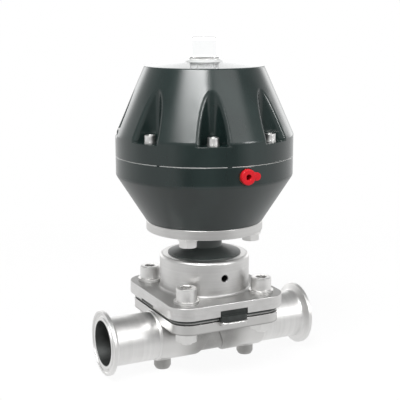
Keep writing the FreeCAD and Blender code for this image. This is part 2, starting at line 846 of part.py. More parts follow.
def screw_places():
    """Centres of the screws that hold the housing together."""
    return ring_places(housing_bolt_circle, pocket_count, pocket_angle)


def toward_port(radius, start, end):
    """Cylinder on the air port's axis between two distances from the stem."""
    return Part.makeCylinder(radius, end - start, Vec(0, -start, port_height), Vec(0, -1, 0))


def lower_housing():
    """Lower bowl with its clamp ring, floor bosses, port and insert holes."""
    outside = turned([(0, plate_top), (lower_foot_radius, plate_top, housing_foot_round),
                      (band_radius, lower_band_bottom, shoulder_round),
                      (band_radius, parting - parting_chamfer), (band_radius - parting_chamfer, parting),
                      (0, parting)])
    wall = housing_wall * math.hypot(1, lower_slope)
    inner_foot = lower_foot_radius + housing_floor * lower_slope - wall
    ring_height = plate_top + (clamp_ring_inner + wall - lower_foot_radius) / lower_slope
    cavity = turned([(0, chamber_floor), (inner_foot, chamber_floor, floor_corner_round),
                     (clamp_ring_inner, ring_height, housing_inner_round), (clamp_ring_inner, parting),
                     (0, parting)])
    boss_top = plate_top + base_insert_length + base_boss_wall
    bosses = [upright(base_insert_radius + base_boss_wall, plate_top, boss_top, place).common(outside)
              for place in plate_places()]
    shell = fused([outside.cut(cavity)] + bosses)
    recess = upright(membrane_outer_radius + membrane_rim_clearance, membrane_clamp_bottom, parting)
    floor_hole = upright(neck_thread_radius + neck_hole_clearance, plate_top, chamber_floor)
    seal_room = upright(neck_thread_radius + neck_hole_clearance + 2 * neck_seal_section, plate_top,
                        plate_top + 2 * neck_seal_section)
    insert_holes = [upright(base_insert_radius, plate_top, plate_top + base_insert_length, place)
                    for place in plate_places()]
    screw_holes = [upright(housing_insert_radius, parting - housing_insert_length, parting, place)
                   for place in screw_places()]
    port_seat = toward_port(port_insert_radius, port_insert_inner, 2 * band_radius)
    port_channel = toward_port(port_channel_radius, 0, port_insert_inner)
    tools = [recess, floor_hole, seal_room, port_seat, port_channel]
    return drilled(shell, tools + insert_holes + screw_holes)


def pocket_form(extra, bottom, top, degrees):
    """Upright elliptic column of a pocket; extra widens it by a wall."""
    ellipse = Part.Ellipse(Vec(0, 0, 0), pocket_long_axis + extra, pocket_cross_axis + extra)
    column = Part.Face(Part.Wire(ellipse.toShape())).extrude(Vec(0, 0, top - bottom))
    column.translate(Vec(pocket_centre, 0, bottom))
    column.rotate(Vec(0, 0, 0), Vec(0, 0, 1), degrees - 90)
    return column


def pocket_rims(shape):
    """Edges where the pockets break out through the cover; its seam lies at Y = 0 and is left alone."""
    return [edge for edge in shape.Edges
            if edge.BoundBox.ZLength > near and abs(edge.BoundBox.YMax) > near]


def upper_housing():
    """Moulded cover: one even wall follows the cone and wraps round eight screw pockets."""
    outside = turned([(0, parting), (band_radius - parting_chamfer, parting),
                      (band_radius, parting + parting_chamfer), (band_radius, shoulder, shoulder_round),
                      (upper_rim_radius, upper_rim, top_edge_round),
                      (collar_foot_radius, collar_foot, collar_foot_round),
                      (collar_radius, collar_top, collar_edge_round), (0, collar_top)])
    turns = [pocket_angle + 360 / pocket_count * step for step in range(pocket_count)]
    pockets = [pocket_form(0, pocket_floor, upper_rim, turn) for turn in turns]
    pocketed = outside.cut(pockets)
    pocketed = pocketed.makeFillet(pocket_rim_round, pocket_rims(pocketed))
    wall = housing_wall * math.hypot(1, upper_slope)
    ring_height = shoulder + (band_radius - wall - clamp_ring_inner) / upper_slope
    ceiling_radius = upper_rim_radius + top_wall * upper_slope - wall
    cavity = turned([(0, parting), (clamp_ring_inner, parting), (clamp_ring_inner, ring_height),
                     (ceiling_radius, ceiling, housing_inner_round), (0, ceiling)])
    walls = [pocket_form(housing_wall, pocket_floor - housing_wall, upper_rim, turn) for turn in turns]
    shell = pocketed.cut(cavity.cut(walls))
    web_bottom = collar_top - collar_depth - collar_web
    web = upright(collar_foot_radius, web_bottom, upper_rim)
    shell = fused([shell, web])
    spigot_room = upright(dome_spigot_radius + dome_spigot_clearance, collar_top - collar_depth, collar_top)
    pin_room = upright(indicator_hole_radius, web_bottom, collar_top)
    screw_holes = [upright(housing_screw_hole / 2, parting, pocket_floor, place) for place in screw_places()]
    return drilled(shell, [spigot_room, pin_room] + screw_holes)


def housing_screws():
    """Eight socket head screws standing in the pockets."""
    sizes = (housing_screw_diameter, housing_head_diameter, housing_head_height, housing_head_socket,
             housing_head_socket_depth, housing_head_edge)
    seat = pocket_floor + housing_washer_thickness
    return [socket_screw(sizes, seat, seat - housing_screw_length, place) for place in screw_places()]


def housing_washers():
    """Washers on the pocket floors."""
    return [washer(housing_screw_diameter, housing_washer_diameter, pocket_floor, housing_washer_thickness,
                   place) for place in screw_places()]


def housing_inserts():
    """Threaded inserts for the housing screws."""
    bottom = parting - housing_insert_length
    return [upright(housing_insert_radius, bottom, parting, place).cut(
        upright(housing_screw_diameter / 2, bottom, parting, place)) for place in screw_places()]


# Membrane, plates and spring

def membrane():
    """Rolling membrane, clamped at the parting and between the two plates."""
    hole = spindle_neck_diameter / 2 + soft_gap
    low = membrane_centre_bottom
    clamp = membrane_clamp_bottom
    outer = membrane_outer_radius
    low_corner = membrane_plate_radius + soft_gap
    high_corner = clamp_ring_inner - soft_gap - membrane_bend
    lean = (high_corner - low_corner) / (clamp - low)
    inset = membrane_thickness * math.hypot(1, lean) - membrane_thickness * lean
    top = low + membrane_thickness
    corners = [(hole, low), (low_corner, low, membrane_roll_round), (high_corner, clamp, membrane_bend)]
    corners += [(outer, clamp), (outer, parting), (high_corner - inset, parting, membrane_bend)]
    corners += [(low_corner - inset, top, membrane_roll_round), (hole, top)]
    return turned(corners)


def lower_membrane_plate():
    """Dished plate under the membrane."""
    hole = spindle_neck_diameter / 2
    rim = membrane_plate_radius
    bottom = lower_plate_bottom
    return turned([(hole, bottom), (rim, bottom, lower_plate_round), (rim, membrane_centre_bottom),
                   (hole, membrane_centre_bottom)])


def upper_membrane_plate():
    """Plate above the membrane, with an upstand that centres the spring."""
    hole = spindle_neck_diameter / 2
    bottom = upper_plate_bottom
    top = upper_plate_top
    rim = spring_mean_radius - spring_wire_radius - spring_side_gap
    rim_inner = rim - plate_rim_width
    rim_top = top + plate_rim_height
    return turned([(hole, bottom), (upper_plate_radius, bottom, upper_plate_round), (upper_plate_radius, top),
                   (rim, top), (rim, rim_top), (rim_inner, rim_top), (rim_inner, top), (hole, top)])


def spindle_nut():
    """Nut that clamps the membrane plates on the spindle's shoulder."""
    blank = hex_blank(spindle_nut_flats, spindle_nut_bottom, spindle_nut_top, Vec(0, 0, 0), False, True)
    return blank.cut(upright(spindle_neck_diameter / 2, spindle_nut_bottom, spindle_nut_top))


def closing_spring():
    """Round-wire spring between the upper plate and the ceiling, each half turn one leaning arc."""
    start = upper_plate_top + spring_wire_radius
    end = ceiling - spring_wire_radius
    rise = (end - start) / spring_half_turns
    bulge = math.hypot(spring_mean_radius, rise / 2)
    arcs = []
    for step in range(spring_half_turns):
        side = 1 if step % 2 == 0 else -1
        foot = Vec(side * spring_mean_radius, 0, start + rise * step)
        middle = Vec(0, side * bulge, start + rise * (step + 0.5))
        head = Vec(-side * spring_mean_radius, 0, start + rise * (step + 1))
        arcs.append(Part.Arc(foot, middle, head).toShape())
    section = Part.makeCircle(spring_wire_radius, Vec(spring_mean_radius, 0, start), Vec(0, 1, 0))
    return Part.Wire(arcs).makePipeShell([Part.Wire(section)], True, False)


# Air port

def port_insert():
    """Threaded insert of the air port, drawn with a plain bore."""
    outer = toward_port(port_insert_radius, port_insert_inner, port_insert_face)
    return outer.cut(toward_port(port_bore_radius, port_insert_inner, port_insert_face))


def port_plug():
    """Push-in dust plug with a finger tab."""
    back = plug_back
    front = back + plug_flange_thickness
    shank = port_bore_radius - running_clearance
    tip = back - plug_length
    corners = [(0, tip), (shank, tip, plug_tip_round), (shank, back), (plug_flange_radius, back),
               (plug_flange_radius, front, plug_flange_edge), (plug_recess_radius, front, plug_mouth_round),
               (plug_recess_radius, tip + plug_wall), (0, tip + plug_wall)]
    body = turned(corners)
    body.rotate(Vec(0, 0, 0), Vec(1, 0, 0), 90)
    body.translate(Vec(0, 0, port_height))
    root = (plug_recess_radius + plug_flange_radius) / 2
    end = plug_tab_reach + plug_tab_radius
    corner = plug_tab_radius - cut_through
    outline = [(root, -plug_tab_radius), (end, -plug_tab_radius, corner), (end, plug_tab_radius, corner),
               (root, plug_tab_radius)]
    face = rounded_face(outline, lambda a, b: Vec(a, -back, port_height + b))
    tab = face.extrude(Vec(0, -plug_tab_thickness, 0))
    return fused([body, tab])


# Indicator and dome

def indicator_pin():
    """Pin on the spindle whose head rises into the dome as the valve opens."""
    head = indicator_tip - indicator_head_height
    return turned([(0, indicator_foot), (indicator_radius, indicator_foot), (indicator_radius, head),
                   (indicator_head_radius, head), (indicator_head_radius, indicator_tip, indicator_tip_round),
                   (0, indicator_tip)])


def dome_seal():
    """Dark ring under the dome."""
    ring = upright(dome_radius - dome_seal_inset, collar_top, dome_bottom)
    return ring.cut(upright(dome_spigot_radius, collar_top, dome_bottom))


def indicator_dome():
    """Clear cap over the indicator."""
    spigot_foot = dome_bottom - dome_spigot_length
    inner = dome_spigot_radius - dome_wall
    bell = dome_radius - dome_wall
    return turned([(inner, spigot_foot), (dome_spigot_radius, spigot_foot), (dome_spigot_radius, dome_bottom),
                   (dome_radius, dome_bottom), (dome_radius, dome_top, dome_edge_round),
                   (dome_nub_radius, dome_top), (dome_nub_radius, dome_top + dome_nub_height),
                   (0, dome_top + dome_nub_height), (0, dome_top - dome_wall),
                   (bell, dome_top - dome_wall, dome_edge_round), (bell, dome_bottom + dome_wall),
                   (inner, dome_bottom + dome_wall)])


def group(solids):
    """Several loose solids that share a node."""
    return Part.makeCompound(solids)


NODES = {
    "valve_body": valve_body(),
    "inlet_ferrule": ferrule(),
    "outlet_ferrule": ferrule().mirror(Vec(0, 0, 0), Vec(1, 0, 0)),
    "diaphragm_face": diaphragm_face(),
    "diaphragm_backing": diaphragm_backing(),
    "diaphragm_stud": diaphragm_stud(),
    "bonnet": bonnet(),
    "bonnet_screws": group(bonnet_screws()),
    "bonnet_washers": group(bonnet_washers()),
    "bonnet_nuts": group(bonnet_nuts()),
    "compressor": compressor(),
    "compressor_pin": cross_pin(2 * compressor_hub_radius),
    "spindle": spindle(),
    "neck_adapter": neck_adapter(),
    "guide_bush": running_ring(neck_foot, bush_length),
    "spindle_seal": running_ring(seal_bottom, spindle_seal_height),
    "neck_nut": neck_nut(),
    "neck_oring": neck_oring(),
    "mounting_plate": mounting_plate(),
    "plate_bolts": group(plate_bolts()),
    "plate_washers": group(plate_washers()),
    "base_inserts": group(base_inserts()),
    "lower_housing": lower_housing(),
    "upper_housing": upper_housing(),
    "housing_screws": group(housing_screws()),
    "housing_washers": group(housing_washers()),
    "housing_inserts": group(housing_inserts()),
    "membrane": membrane(),
    "lower_membrane_plate": lower_membrane_plate(),
    "upper_membrane_plate": upper_membrane_plate(),
    "spindle_washer": washer(spindle_neck_diameter, 2 * spindle_washer_radius, upper_plate_top,
                             spindle_washer_thickness, Vec(0, 0, 0)),
    "spindle_nut": spindle_nut(),
    "closing_spring": closing_spring(),
    "port_insert": port_insert(),
    "port_plug": port_plug(),
    "indicator_pin": indicator_pin(),
    "dome_seal": dome_seal(),
    "indicator_dome": indicator_dome(),
}

os.makedirs("parts", exist_ok=True)
for name, shape in NODES.items():
    shape.exportStep("parts/" + name + ".step")
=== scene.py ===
import json
import math

import bmesh
import bpy
from mathutils import Matrix, Vector

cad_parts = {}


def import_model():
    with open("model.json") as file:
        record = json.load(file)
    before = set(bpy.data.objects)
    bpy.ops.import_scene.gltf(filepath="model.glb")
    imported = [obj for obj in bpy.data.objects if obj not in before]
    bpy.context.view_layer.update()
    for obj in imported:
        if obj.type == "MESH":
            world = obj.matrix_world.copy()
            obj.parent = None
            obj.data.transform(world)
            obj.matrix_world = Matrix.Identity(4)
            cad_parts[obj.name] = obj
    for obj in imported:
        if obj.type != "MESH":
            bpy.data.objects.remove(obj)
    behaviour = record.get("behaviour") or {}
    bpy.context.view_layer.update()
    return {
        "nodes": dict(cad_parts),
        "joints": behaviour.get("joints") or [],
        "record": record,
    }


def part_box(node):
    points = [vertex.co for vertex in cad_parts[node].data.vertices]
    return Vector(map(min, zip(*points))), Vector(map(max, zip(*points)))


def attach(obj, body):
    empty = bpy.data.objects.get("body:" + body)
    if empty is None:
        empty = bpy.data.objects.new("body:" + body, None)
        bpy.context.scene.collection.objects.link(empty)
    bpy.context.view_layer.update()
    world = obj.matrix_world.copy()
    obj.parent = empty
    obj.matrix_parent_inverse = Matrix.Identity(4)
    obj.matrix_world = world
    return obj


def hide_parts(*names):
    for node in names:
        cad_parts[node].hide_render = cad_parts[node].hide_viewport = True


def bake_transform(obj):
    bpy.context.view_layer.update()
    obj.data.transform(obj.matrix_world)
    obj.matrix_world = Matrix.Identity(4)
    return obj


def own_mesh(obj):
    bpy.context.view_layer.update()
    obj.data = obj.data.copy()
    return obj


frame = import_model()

# Weir diaphragm valve with clamp ferrules and a spring-closed air actuator. Metres, in the frame of the
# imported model: X along the pipe, Z up the stem, the air port on the -Y side.

MM = 0.001
FULL_TURN = 2 * math.pi


# Places read from the frame

def top(node):
    """Height of a node's highest point."""
    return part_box(node)[1].z


def bottom(node):
    """Height of a node's lowest point."""
    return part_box(node)[0].z


def reach(node):
    """Distance of a node's outermost point from the stem, along X."""
    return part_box(node)[1].x


PIPE_HEIGHT = (top("inlet_ferrule") + bottom("inlet_ferrule")) / 2
WELD_PLACE = reach("valve_body")
BODY_TOP = top("valve_body")
BONNET_TOP = top("bonnet")
BONNET_FLANGE_TOP = bottom("bonnet_washers")
PARTING = bottom("upper_housing")
BAND_RADIUS = reach("lower_housing")


# Sizes of the features that a finish follows

BORE_RADIUS = 17.55 * MM
BARREL_RADIUS = 20.2 * MM
CUP_RADIUS = 35.7 * MM
LEAK_HOLE_RADIUS = 2.5 * MM
LEAK_HOLE_HEIGHT = BONNET_FLANGE_TOP + 14.6 * MM
COLLAR_FOOT = top("upper_housing") - 2 * MM


# Where a finish, or the light and shade painted into it, changes on its node: the start and the end of each
# fade

# End of the painted shade on the forging's middle, where its turned barrel starts
BARREL_RUN = (12 * MM, 34 * MM)
BARREL_SKIN = (BARREL_RADIUS + 0.2 * MM, BARREL_RADIUS + 0.8 * MM)
# Start of the painted light on the body's flange
BODY_FLANGE_FOOT = (BODY_TOP - 8.2 * MM, BODY_TOP - 7 * MM)
# End of the painted shade in the bore
BORE_SKIN = (BORE_RADIUS + 0.2 * MM, BORE_RADIUS + 0.7 * MM)
# Band on the top of the bonnet's flange: blast finish, and painted shade under the actuator
BLAST_START = (BONNET_FLANGE_TOP - 0.5 * MM, BONNET_FLANGE_TOP - 0.1 * MM)
BLAST_END = (BONNET_FLANGE_TOP + 0.5 * MM, BONNET_FLANGE_TOP + 2 * MM)
# Edges of the painted shade in the cup and in the leak hole
CUP_WALL = (CUP_RADIUS - 1 * MM, CUP_RADIUS - 0.5 * MM)
CUP_RIM = (BONNET_TOP - 1.6 * MM, BONNET_TOP - 0.8 * MM)
LEAK_HOLE_EDGE = (LEAK_HOLE_RADIUS + 0.4 * MM, LEAK_HOLE_RADIUS + 0.7 * MM)
FRONT_HALF = (-1 * MM, 0)
# Start of the painted reflection on the collar under the dome
COLLAR_EDGE = (COLLAR_FOOT - 0.1 * MM, COLLAR_FOOT + 0.2 * MM)
LOWER_CONE = (PARTING - 16 * MM, PARTING - 12 * MM)


# Shader maths

class Wire:
    """A socket of a node tree; sums on it add Math nodes, and node() adds any other node."""

    def __init__(self, tree, socket=None):
        self.tree = tree
        self.socket = socket

    def node(self, kind, settings, inputs, output=0):
        """A new node: its settings first, then its sockets' values or links."""
        made = self.tree.nodes.new(kind)
        for name, value in settings.items():
            setattr(made, name, value)
        for name, value in inputs.items():
            if isinstance(value, Wire):
                self.tree.links.new(value.socket, made.inputs[name])
            else:
                made.inputs[name].default_value = value
        return Wire(self.tree, made.outputs[output] if made.outputs else None)

    def other(self, output):
        """Another output of the same node."""
        return Wire(self.tree, self.socket.node.outputs[output])

    def math(self, operation, first, second=0.0):
        """A new Math node."""
        return self.node("ShaderNodeMath", {"operation": operation}, {0: first, 1: second})

    def __add__(self, other):
        return self.math("ADD", self, other)

    def __radd__(self, other):
        return self.math("ADD", other, self)

    def __sub__(self, other):
        return self.math("SUBTRACT", self, other)

    def __rsub__(self, other):
        return self.math("SUBTRACT", other, self)

    def __mul__(self, other):
        return self.math("MULTIPLY", self, other)

    def __rmul__(self, other):
        return self.math("MULTIPLY", other, self)

    def __pow__(self, other):
        return self.math("POWER", self, other)


def emptied(owner):
    """Clears the node tree of a material, a lamp or the world, and gives a loose wire to start from."""
    owner.use_nodes = True
    owner.node_tree.nodes.clear()
    return Wire(owner.node_tree)


def step(value, low, high):
    """0 below low, 1 above high, with a smooth rise between."""
    return value.node("ShaderNodeMapRange", {"interpolation_type": "SMOOTHSTEP"},
                      {"Value": value, "From Min": low, "From Max": high})


def past(value, fade):
    """Mask of what lies past the fade."""
    return step(value, *fade)


def before(value, fade):
    """Mask of what lies before the fade."""
    return 1 - step(value, *fade)


def distance(first, second):
    """Length of the diagonal over two lengths at right angles."""
    return (first * first + second * second) ** 0.5


MIX_FIRST_COLOUR = 6
MIX_SECOND_COLOUR = 7
MIX_COLOUR_RESULT = 2


def mixed(mask, first, second):
    """Colour between two colours."""
    colours = {MIX_FIRST_COLOUR: first, MIX_SECOND_COLOUR: second}
    return mask.node("ShaderNodeMix", {"data_type": "RGBA"}, {"Factor": mask, **colours}, MIX_COLOUR_RESULT)


def recolour(found, mask, colour):
    """Gives a finish another base colour where the mask is 1."""
    found["Base Color"] = mixed(mask, found["Base Color"], colour)


def split(place):
    """X, Y and Z of a place."""
    parts = place.node("ShaderNodeSeparateXYZ", {}, {"Vector": place})
    return [parts.other(axis) for axis in "XYZ"]


def joined(first, second):
    """A flat place out of two wires."""
    return first.node("ShaderNodeCombineXYZ", {}, {"X": first, "Y": second})


def grain(place, size, detail=2.0):
    """Noise from 0 to 1 with lumps of about the size given in metres."""
    return place.node("ShaderNodeTexNoise", {}, {"Vector": place, "Scale": 1 / size, "Detail": detail})


def about_stem(place):
    """Radius and height, so that noise turns into the rings a lathe leaves."""
    x, y, z = split(place)
    return joined(distance(x, y), z)


def about_pipe(place):
    """Radius and length along the pipe, for rings about the pipe's axis."""
    x, y, z = split(place)
    return joined(distance(y, z - PIPE_HEIGHT), x)


BEVEL_SAMPLES = 6


def finish(name, recipe, bump, edge=0.0, **even):
    """Material: recipe(place) gives what varies, and even gives the sockets with one value."""
    material = bpy.data.materials.new(name)
    place = emptied(material).node("ShaderNodeTexCoord", {}, {}, "Object")
    varying = recipe(place)
    relief = {"Height": varying.pop("Height"), "Distance": bump}
    if edge:
        relief["Normal"] = place.node("ShaderNodeBevel", {"samples": BEVEL_SAMPLES}, {"Radius": edge})
    varying["Normal"] = place.node("ShaderNodeBump", {}, relief)
    uniform = {key.replace("_", " "): value for key, value in even.items()}
    shader = place.node("ShaderNodeBsdfPrincipled", {}, {**uniform, **varying})
    shader.node("ShaderNodeOutputMaterial", {}, {"Surface": shader})
    return material


# Finishes of the metals

BLAST_MATT = 0.1


def satin(place, dark, light, rough):
    """Blasted or pickled metal: cloudy tone with a fine even grain."""
    cloud = grain(place, size=14 * MM, detail=3.0)
    fine = grain(place, size=0.5 * MM)
    tone = step(cloud * 0.7 + fine * 0.3, low=0.3, high=0.7)
    return {"Base Color": mixed(tone, dark, light),
            "Roughness": rough + cloud * 0.08 + fine * 0.06,
            "Height": fine}


def ringed(rings, place, dark, light, rough):
    """Turned metal: fine rings, with a few that run deeper."""
    fine = grain(rings, size=0.25 * MM, detail=3.0)
    broad = grain(rings, size=2.5 * MM)
    smudge = grain(place, size=18 * MM, detail=3.0)
    tone = step(fine * 0.4 + broad * 0.3 + smudge * 0.3, low=0.35, high=0.65)
    return {"Base Color": mixed(tone, dark, light),
            "Roughness": rough + smudge * 0.08 + fine * 0.05,
            "Height": fine * 0.6 + broad * 0.4}


def forged_steel():
    """Blasted forging, its middle painted darker as painted shade; the barrel towards the welds is turned and
    lighter, and the flange is painted lighter as painted light.
    """
    def recipe(place):
        # Painted shade: the whole forging gets a dark tone, which stays on its shaded middle
        found = satin(place, dark=(0.28, 0.277, 0.27, 1), light=(0.38, 0.376, 0.368, 1), rough=0.33)
        radius, length, _ = split(about_pipe(place))
        barrel = past(length.math("ABSOLUTE", length), BARREL_RUN) * before(radius, BARREL_SKIN)
        flange = past(split(place)[2], BODY_FLANGE_FOOT)
        # The turned ends of the barrel are lighter than the painted shade of the middle
        recolour(found, barrel, (0.66, 0.655, 0.645, 1))
        # Painted light: the flange is painted lighter, as lit
        recolour(found, flange, (0.58, 0.575, 0.566, 1))
        return found
    return finish("forged_steel", recipe, bump=0.012 * MM, edge=0.35 * MM, Metallic=1.0)


def polished_steel():
    """Turned ferrules, tubes and weld beads, with painted shade within the bore."""
    def recipe(place):
        rings = about_pipe(place)
        found = ringed(rings, place, dark=(0.67, 0.666, 0.658, 1), light=(0.77, 0.766, 0.758, 1), rough=0.35)
        # Painted shade: the bore is painted dark, where shade falls in it
        recolour(found, before(split(rings)[0], BORE_SKIN), (0.24, 0.25, 0.245, 1))
        return found
    return finish("polished_steel", recipe, bump=0.004 * MM, edge=0.2 * MM, Metallic=1.0)


def bonnet_steel():
    """Turned cup on a flange with a blast finish; the top of the flange is also painted darker as shade under
    the actuator, and there is painted shade in the cup and in the leak hole.
    """
    def recipe(place):
        found = ringed(about_stem(place), place, dark=(0.56, 0.556, 0.548, 1), light=(0.66, 0.656, 0.648, 1),
                       rough=0.34)
        x, y, height = split(place)
        blasted = past(height, BLAST_START) * before(height, BLAST_END)
        inside = before(distance(x, y), CUP_WALL) * before(height, CUP_RIM)
        sink = before(distance(x, height - LEAK_HOLE_HEIGHT), LEAK_HOLE_EDGE) * before(y, FRONT_HALF)
        # Painted shade: the top of the flange is painted darker as shaded by the actuator; its blast finish
        # is only the roughness added further down
        recolour(found, blasted, (0.36, 0.358, 0.352, 1))
        # Painted shade: the cup is painted dark within its wall
        recolour(found, inside, (0.10, 0.10, 0.10, 1))
        # Painted shade: the leak hole is painted dark
        recolour(found, sink, (0.22, 0.22, 0.22, 1))
        found["Roughness"] = found["Roughness"] + blasted * BLAST_MATT
        return found
    return finish("bonnet_steel", recipe, bump=0.008 * MM, edge=0.35 * MM, Metallic=1.0)


def plate_steel():
    """Turned round plate under the actuator."""
    def recipe(place):
        return ringed(about_stem(place), place, dark=(0.52, 0.516, 0.508, 1), light=(0.62, 0.616, 0.608, 1),
                      rough=0.30)
    return finish("plate_steel", recipe, bump=0.006 * MM, edge=0.3 * MM, Metallic=1.0)


def fastener_steel():
    """Pickled screws, nuts and washers."""
    def recipe(place):
        return satin(place, dark=(0.68, 0.676, 0.666, 1), light=(0.78, 0.775, 0.765, 1), rough=0.30)
    return finish("fastener_steel", recipe, bump=0.003 * MM, edge=0.25 * MM, Metallic=1.0)


def stem_steel():
    """Ground and polished spindle, stud and pin."""
    def recipe(place):
        return ringed(about_stem(place), place, dark=(0.70, 0.70, 0.70, 1), light=(0.78, 0.78, 0.78, 1),
                      rough=0.12)
    return finish("stem_steel", recipe, bump=0.003 * MM, edge=0.2 * MM, Metallic=1.0)


def brass():
    """Turned bush and threaded inserts."""
    def recipe(place):
        return ringed(about_stem(place), place, dark=(0.58, 0.40, 0.16, 1), light=(0.70, 0.52, 0.24, 1),
                      rough=0.24)
    return finish("brass", recipe, bump=0.006 * MM, edge=0.2 * MM, Metallic=1.0)


def aluminium():
    """Tumbled aluminium of the compressor and the membrane plates."""
    def recipe(place):
        return satin(place, dark=(0.66, 0.67, 0.68, 1), light=(0.76, 0.77, 0.78, 1), rough=0.36)
    return finish("aluminium", recipe, bump=0.02 * MM, edge=0.3 * MM, Metallic=1.0)


def spring_steel():
    """Dark wire of the closing spring."""
    def recipe(place):
        return satin(place, dark=(0.10, 0.11, 0.13, 1), light=(0.19, 0.20, 0.22, 1), rough=0.30)
    return finish("spring_steel", recipe, bump=0.006 * MM, Metallic=1.0)


# Finishes of plastic and rubber

FLOW_STRETCH = (1, 1, 0.35)
LOWER_CONE_MATT = 0.12
WEAVE_WAVES = 5200
WEAVE_SHARE = 0.6


def moulded(place, dark, light, rough):
    """Moulded plastic: faint flow marks, a soft orange-peel skin and a little dust."""
    drawn_out = place.node("ShaderNodeVectorMath", {"operation": "MULTIPLY"}, {0: place, 1: FLOW_STRETCH})
    flow = grain(drawn_out, size=22 * MM, detail=3.0)
    dust = step(grain(place, size=0.7 * MM, detail=4.0), low=0.68, high=0.8)
    return {"Base Color": mixed(step(flow, low=0.3, high=0.7), dark, light),
            "Roughness": rough + flow * 0.05 + dust * 0.05,
            "Height": grain(place, size=2.2 * MM)}


def rubber(place, dark, light, rough):
    """Moulded rubber: matt bloom in patches over a fine skin."""
    bloom = step(grain(place, size=9 * MM, detail=4.0), low=0.4, high=0.75)
    skin = grain(place, size=0.35 * MM, detail=3.0)
    return {"Base Color": mixed(bloom, dark, light),
            "Roughness": rough + skin * 0.1 + bloom * 0.08,
            "Height": skin}


def black_plastic():
    """Gloss black, a little more matt on the lower cone; the low collar under the dome is painted pale, a
    painted reflection of the white backdrop.
    """
    def recipe(place):
        found = moulded(place, dark=(0.0088, 0.0168, 0.0158, 1), light=(0.0148, 0.0255, 0.0240, 1),
                        rough=0.18)
        height = split(place)[2]
        # Painted reflection: the collar under the dome is painted pale
        recolour(found, past(height, COLLAR_EDGE), (0.50, 0.51, 0.505, 1))
        found["Roughness"] = found["Roughness"] + before(height, LOWER_CONE) * LOWER_CONE_MATT
        return found
    return finish("black_plastic", recipe, bump=0.006 * MM, edge=0.9 * MM, IOR=1.52)


def black_neck():
    """Moulded neck under the plate, black plastic given a dark grey as painted fill light in the shade of the
    actuator.
    """
    def recipe(place):
        # Painted light: dark grey in place of black, so that the shaded neck reads brighter
        return moulded(place, dark=(0.085, 0.098, 0.095, 1), light=(0.110, 0.125, 0.121, 1), rough=0.34)
    return finish("black_neck", recipe, bump=0.010 * MM, edge=0.3 * MM)


def red_plastic():
    """Dust plug, with little gloss."""
    def recipe(place):
        return moulded(place, dark=(0.50, 0.006, 0.012, 1), light=(0.60, 0.012, 0.020, 1), rough=0.24)
    return finish("red_plastic", recipe, bump=0.008 * MM, edge=0.3 * MM, IOR=1.33)


def indicator_red():
    """Pin that shows in the dome when the valve is open."""
    def recipe(place):
        return moulded(place, dark=(0.52, 0.03, 0.02, 1), light=(0.62, 0.05, 0.03, 1), rough=0.32)
    return finish("indicator_red", recipe, bump=0.008 * MM, edge=0.2 * MM)


def clear_plastic():
    """Clear dome; it bends light so little that its edges stay as faint as in the photo."""
    def recipe(place):
        swirl = grain(place, size=6 * MM)
        return {"Base Color": mixed(swirl, (0.975, 0.98, 0.98, 1), (0.995, 0.997, 0.997, 1)),
                "Roughness": 0.02 + swirl * 0.03,
                "Height": swirl}
    return finish("clear_plastic", recipe, bump=0.004 * MM, IOR=1.09, Transmission_Weight=1.0)


def black_rubber():
    """Backing of the diaphragm, and the seals."""
    def recipe(place):
        return rubber(place, dark=(0.016, 0.019, 0.018, 1), light=(0.034, 0.039, 0.037, 1), rough=0.42)
    return finish("black_rubber", recipe, bump=0.015 * MM, edge=0.25 * MM)


def pale_rubber():
    """Ring at the foot of the dome: a seal given a pale colour as a painted highlight."""
    def recipe(place):
        # Painted highlight: the seal is coloured pale for the light it catches
        return rubber(place, dark=(0.72, 0.72, 0.70, 1), light=(0.82, 0.82, 0.80, 1), rough=0.40)
    return finish("pale_rubber", recipe, bump=0.010 * MM, edge=0.2 * MM)


def cloth_rubber():
    """Rolling membrane: rubber over cloth, whose weave shows through."""
    def recipe(place):
        found = rubber(place, dark=(0.018, 0.018, 0.018, 1), light=(0.04, 0.04, 0.04, 1), rough=0.55)
        warp, weft, _ = [along * WEAVE_WAVES for along in split(place)]
        weave = warp.math("SINE", warp) * weft.math("SINE", weft)
        found["Height"] = found["Height"] * (1 - WEAVE_SHARE) + weave * WEAVE_SHARE
        return found
    return finish("cloth_rubber", recipe, bump=0.05 * MM)


def face_layer():
    """Grey face of the diaphragm; the pale bead in the joint of the housing, a painted highlight, has it too.
    """
    def recipe(place):
        return rubber(place, dark=(0.40, 0.405, 0.395, 1), light=(0.50, 0.505, 0.495, 1), rough=0.45)
    return finish("face_layer", recipe, bump=0.01 * MM, edge=0.15 * MM)


FINISHES = {make.__name__: make() for make in (
    forged_steel, polished_steel, bonnet_steel, plate_steel, fastener_steel, stem_steel, brass, aluminium,
    spring_steel, black_plastic, black_neck, red_plastic, indicator_red, clear_plastic, black_rubber,
    pale_rubber, cloth_rubber, face_layer)}


# Meshes

SMOOTH_ANGLE = math.radians(32)


def placed(name, data):
    """A new object in the scene."""
    thing = bpy.data.objects.new(name, data)
    bpy.context.scene.collection.objects.link(thing)
    return thing


def new_piece(name, mesh, slot, body, *nodes):
    """Puts a finished mesh into the scene, on its body, in place of the nodes."""
    piece = placed(name, mesh)
    mesh.materials.clear()
    mesh.materials.append(FINISHES[slot])
    if body:
        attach(piece, body)
    if nodes:
        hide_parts(*nodes)
    return piece


def lofted(form, rings, endless=False):
    """Quads between rings of points with equal counts; the last ring meets the first, or both are filled."""
    rows = [[form.verts.new(point) for point in ring] for ring in rings]
    count = len(rows[0])
    following = rows[1:] + rows[:1] if endless else rows[1:]
    for low, high in zip(rows, following):
        for index in range(count):
            after = (index + 1) % count
            form.faces.new((low[index], low[after], high[after], high[index]))
    if not endless:
        form.faces.new(list(reversed(rows[0])))
        form.faces.new(rows[-1])


